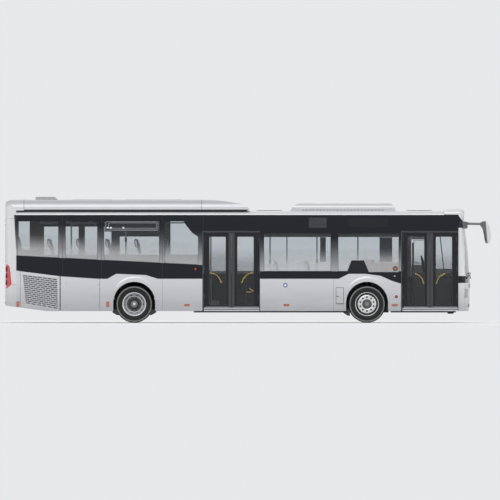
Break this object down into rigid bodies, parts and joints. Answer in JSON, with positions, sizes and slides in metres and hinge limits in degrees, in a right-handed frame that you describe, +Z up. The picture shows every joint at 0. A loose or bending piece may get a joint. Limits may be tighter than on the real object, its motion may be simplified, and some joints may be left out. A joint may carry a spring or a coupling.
{
  "type": "city bus",
  "caption": "Low-entry city bus with hinged inward-opening door leaves, steered front wheels, twin rear wheels, engine door and side flaps.",
  "frame": {"origin": "on the ground under the middle of the overall length, mirrors included", "axes": "+X to the front, +Y to the driver's side, +Z up"},
  "size_m": [12.45, 2.55, 3.228],
  "materials": {
    "floor": "satin",
    "chassis": "satin",
    "black_band": "gloss",
    "silver_paint": "gloss",
    "window_glass": "gloss",
    "lamp_clear": "gloss",
    "lamp_red": "gloss",
    "black_plastic": "satin",
    "dash_plastic": "matte",
    "interior_panel": "matte",
    "seat_fabric": "matte",
    "grey_rail": "satin",
    "engine_iron": "matte",
    "door_frame": "gloss",
    "axle_iron": "matte",
    "tyre": "matte",
    "wheel_steel": "satin"
  },
  "bodies": {
    "body": {"floor": "floor", "chassis_rails": "chassis", "cross_members": "chassis", "tow_block": "chassis", "right_window_wall": "black_band", "left_window_wall": "black_band", "roof": "silver_paint", "right_skirts": "silver_paint", "left_skirts": "silver_paint", "front_mask": "silver_paint", "rear_mask": "silver_paint", "windscreen": "window_glass", "rear_window": "window_glass", "right_windows": "window_glass", "left_windows": "window_glass", "roof_fairing": "silver_paint", "aircon_pod": "silver_paint", "roof_vent": "silver_paint", "headlamps": "lamp_clear", "tail_lamps": "lamp_red", "mirrors": "black_plastic", "dashboard": "dash_plastic", "steering_wheel": "dash_plastic", "cabinets": "dash_plastic", "cab_partition": "interior_panel", "driver_seat": "seat_fabric", "passenger_seats": "seat_fabric", "handrails": "grey_rail", "front_axle": "chassis", "rear_axle": "chassis", "engine": "engine_iron"},
    "engine_door": {"engine_door": "silver_paint"},
    "grille_door": {"grille_door": "silver_paint"},
    "service_door": {"service_door": "silver_paint"},
    "filler_flap": {"filler_flap": "silver_paint"},
    "cab_door": {"cab_door": "interior_panel"},
    "mid_door_rear_leaf": {"mid_door_rear_leaf": "door_frame", "mid_door_rear_leaf_glass": "window_glass"},
    "mid_door_fore_leaf": {"mid_door_fore_leaf": "door_frame", "mid_door_fore_leaf_glass": "window_glass"},
    "front_door_rear_leaf": {"front_door_rear_leaf": "door_frame", "front_door_rear_leaf_glass": "window_glass"},
    "front_door_fore_leaf": {"front_door_fore_leaf": "door_frame", "front_door_fore_leaf_glass": "window_glass"},
    "front_left_knuckle": {"front_left_knuckle": "axle_iron"},
    "front_right_knuckle": {"front_right_knuckle": "axle_iron"},
    "tie_rod": {"tie_rod": "chassis"},
    "front_left_wheel": {"front_left_tyre": "tyre", "front_left_rim": "wheel_steel"},
    "front_right_wheel": {"front_right_tyre": "tyre", "front_right_rim": "wheel_steel"},
    "rear_left_wheel": {"rear_left_tyres": "tyre", "rear_left_rims": "wheel_steel"},
    "rear_right_wheel": {"rear_right_tyres": "tyre", "rear_right_rims": "wheel_steel"}
  },
  "joints": [
    {"name": "engine_door_open", "type": "hinge", "parent": "body", "child": "engine_door", "pos_m": [-6.225, 0, 1.322], "axis": [0, 1, 0], "range_deg": [0, 85]},
    {"name": "grille_door_open", "type": "hinge", "parent": "body", "child": "grille_door", "pos_m": [-4.813, -1.263, 0.8], "axis": [0, 0, 1], "range_deg": [0, 90]},
    {"name": "service_door_open", "type": "hinge", "parent": "body", "child": "service_door", "pos_m": [-3.793, -1.263, 0.7], "axis": [0, 0, 1], "range_deg": [0, 90]},
    {"name": "filler_flap_open", "type": "hinge", "parent": "body", "child": "filler_flap", "pos_m": [2.45, -1.263, 0.7], "axis": [0, 0, 1], "range_deg": [0, 90]},
    {"name": "cab_door_open", "type": "hinge", "parent": "body", "child": "cab_door", "pos_m": [4.284, 0.076, 0.8], "axis": [0, 0, -1], "range_deg": [0, 90]},
    {"name": "mid_door_rear_open", "type": "hinge", "parent": "body", "child": "mid_door_rear_leaf", "pos_m": [-1.102, -1.239, 1.3], "axis": [0, 0, 1], "range_deg": [0, 90]},
    {"name": "mid_door_fore_open", "type": "hinge", "parent": "body", "child": "mid_door_fore_leaf", "pos_m": [0.275, -1.239, 1.3], "axis": [0, 0, -1], "range_deg": [0, 90]},
    {"name": "front_door_rear_open", "type": "hinge", "parent": "body", "child": "front_door_rear_leaf", "pos_m": [3.983, -1.239, 1.3], "axis": [0, 0, 1], "range_deg": [0, 90]},
    {"name": "front_door_fore_open", "type": "hinge", "parent": "body", "child": "front_door_fore_leaf", "pos_m": [5.353, -1.239, 1.3], "axis": [0, 0, -1], "range_deg": [0, 90]},
    {"name": "front_left_steer", "type": "hinge", "parent": "body", "child": "front_left_knuckle", "pos_m": [3.055, 0.985, 0.478], "axis": [0, 0, 1], "range_deg": [-40, 40]},
    {"name": "front_right_steer", "type": "hinge", "parent": "body", "child": "front_right_knuckle", "pos_m": [3.055, -0.985, 0.478], "axis": [0, 0, 1], "range_deg": [-40, 40]},
    {"name": "tie_rod_swing", "type": "hinge", "parent": "front_left_knuckle", "child": "tie_rod", "pos_m": [2.885, 0.985, 0.338], "axis": [0, 0, 1], "range_deg": [-40, 40]},
    {"name": "front_left_spin", "type": "hinge", "parent": "front_left_knuckle", "child": "front_left_wheel", "pos_m": [3.055, 1.077, 0.478], "axis": [0, 1, 0], "continuous": true},
    {"name": "front_right_spin", "type": "hinge", "parent": "front_right_knuckle", "child": "front_right_wheel", "pos_m": [3.055, -1.077, 0.478], "axis": [0, 1, 0], "continuous": true},
    {"name": "rear_left_spin", "type": "hinge", "parent": "body", "child": "rear_left_wheel", "pos_m": [-2.905, 0.921, 0.478], "axis": [0, 1, 0], "continuous": true},
    {"name": "rear_right_spin", "type": "hinge", "parent": "body", "child": "rear_right_wheel", "pos_m": [-2.905, -0.921, 0.478], "axis": [0, 1, 0], "continuous": true}
  ],
  "couplings": [
    {"joint": "front_right_steer", "follows": "front_left_steer", "ratio": 1},
    {"joint": "tie_rod_swing", "follows": "front_left_steer", "ratio": -1}
  ]
}
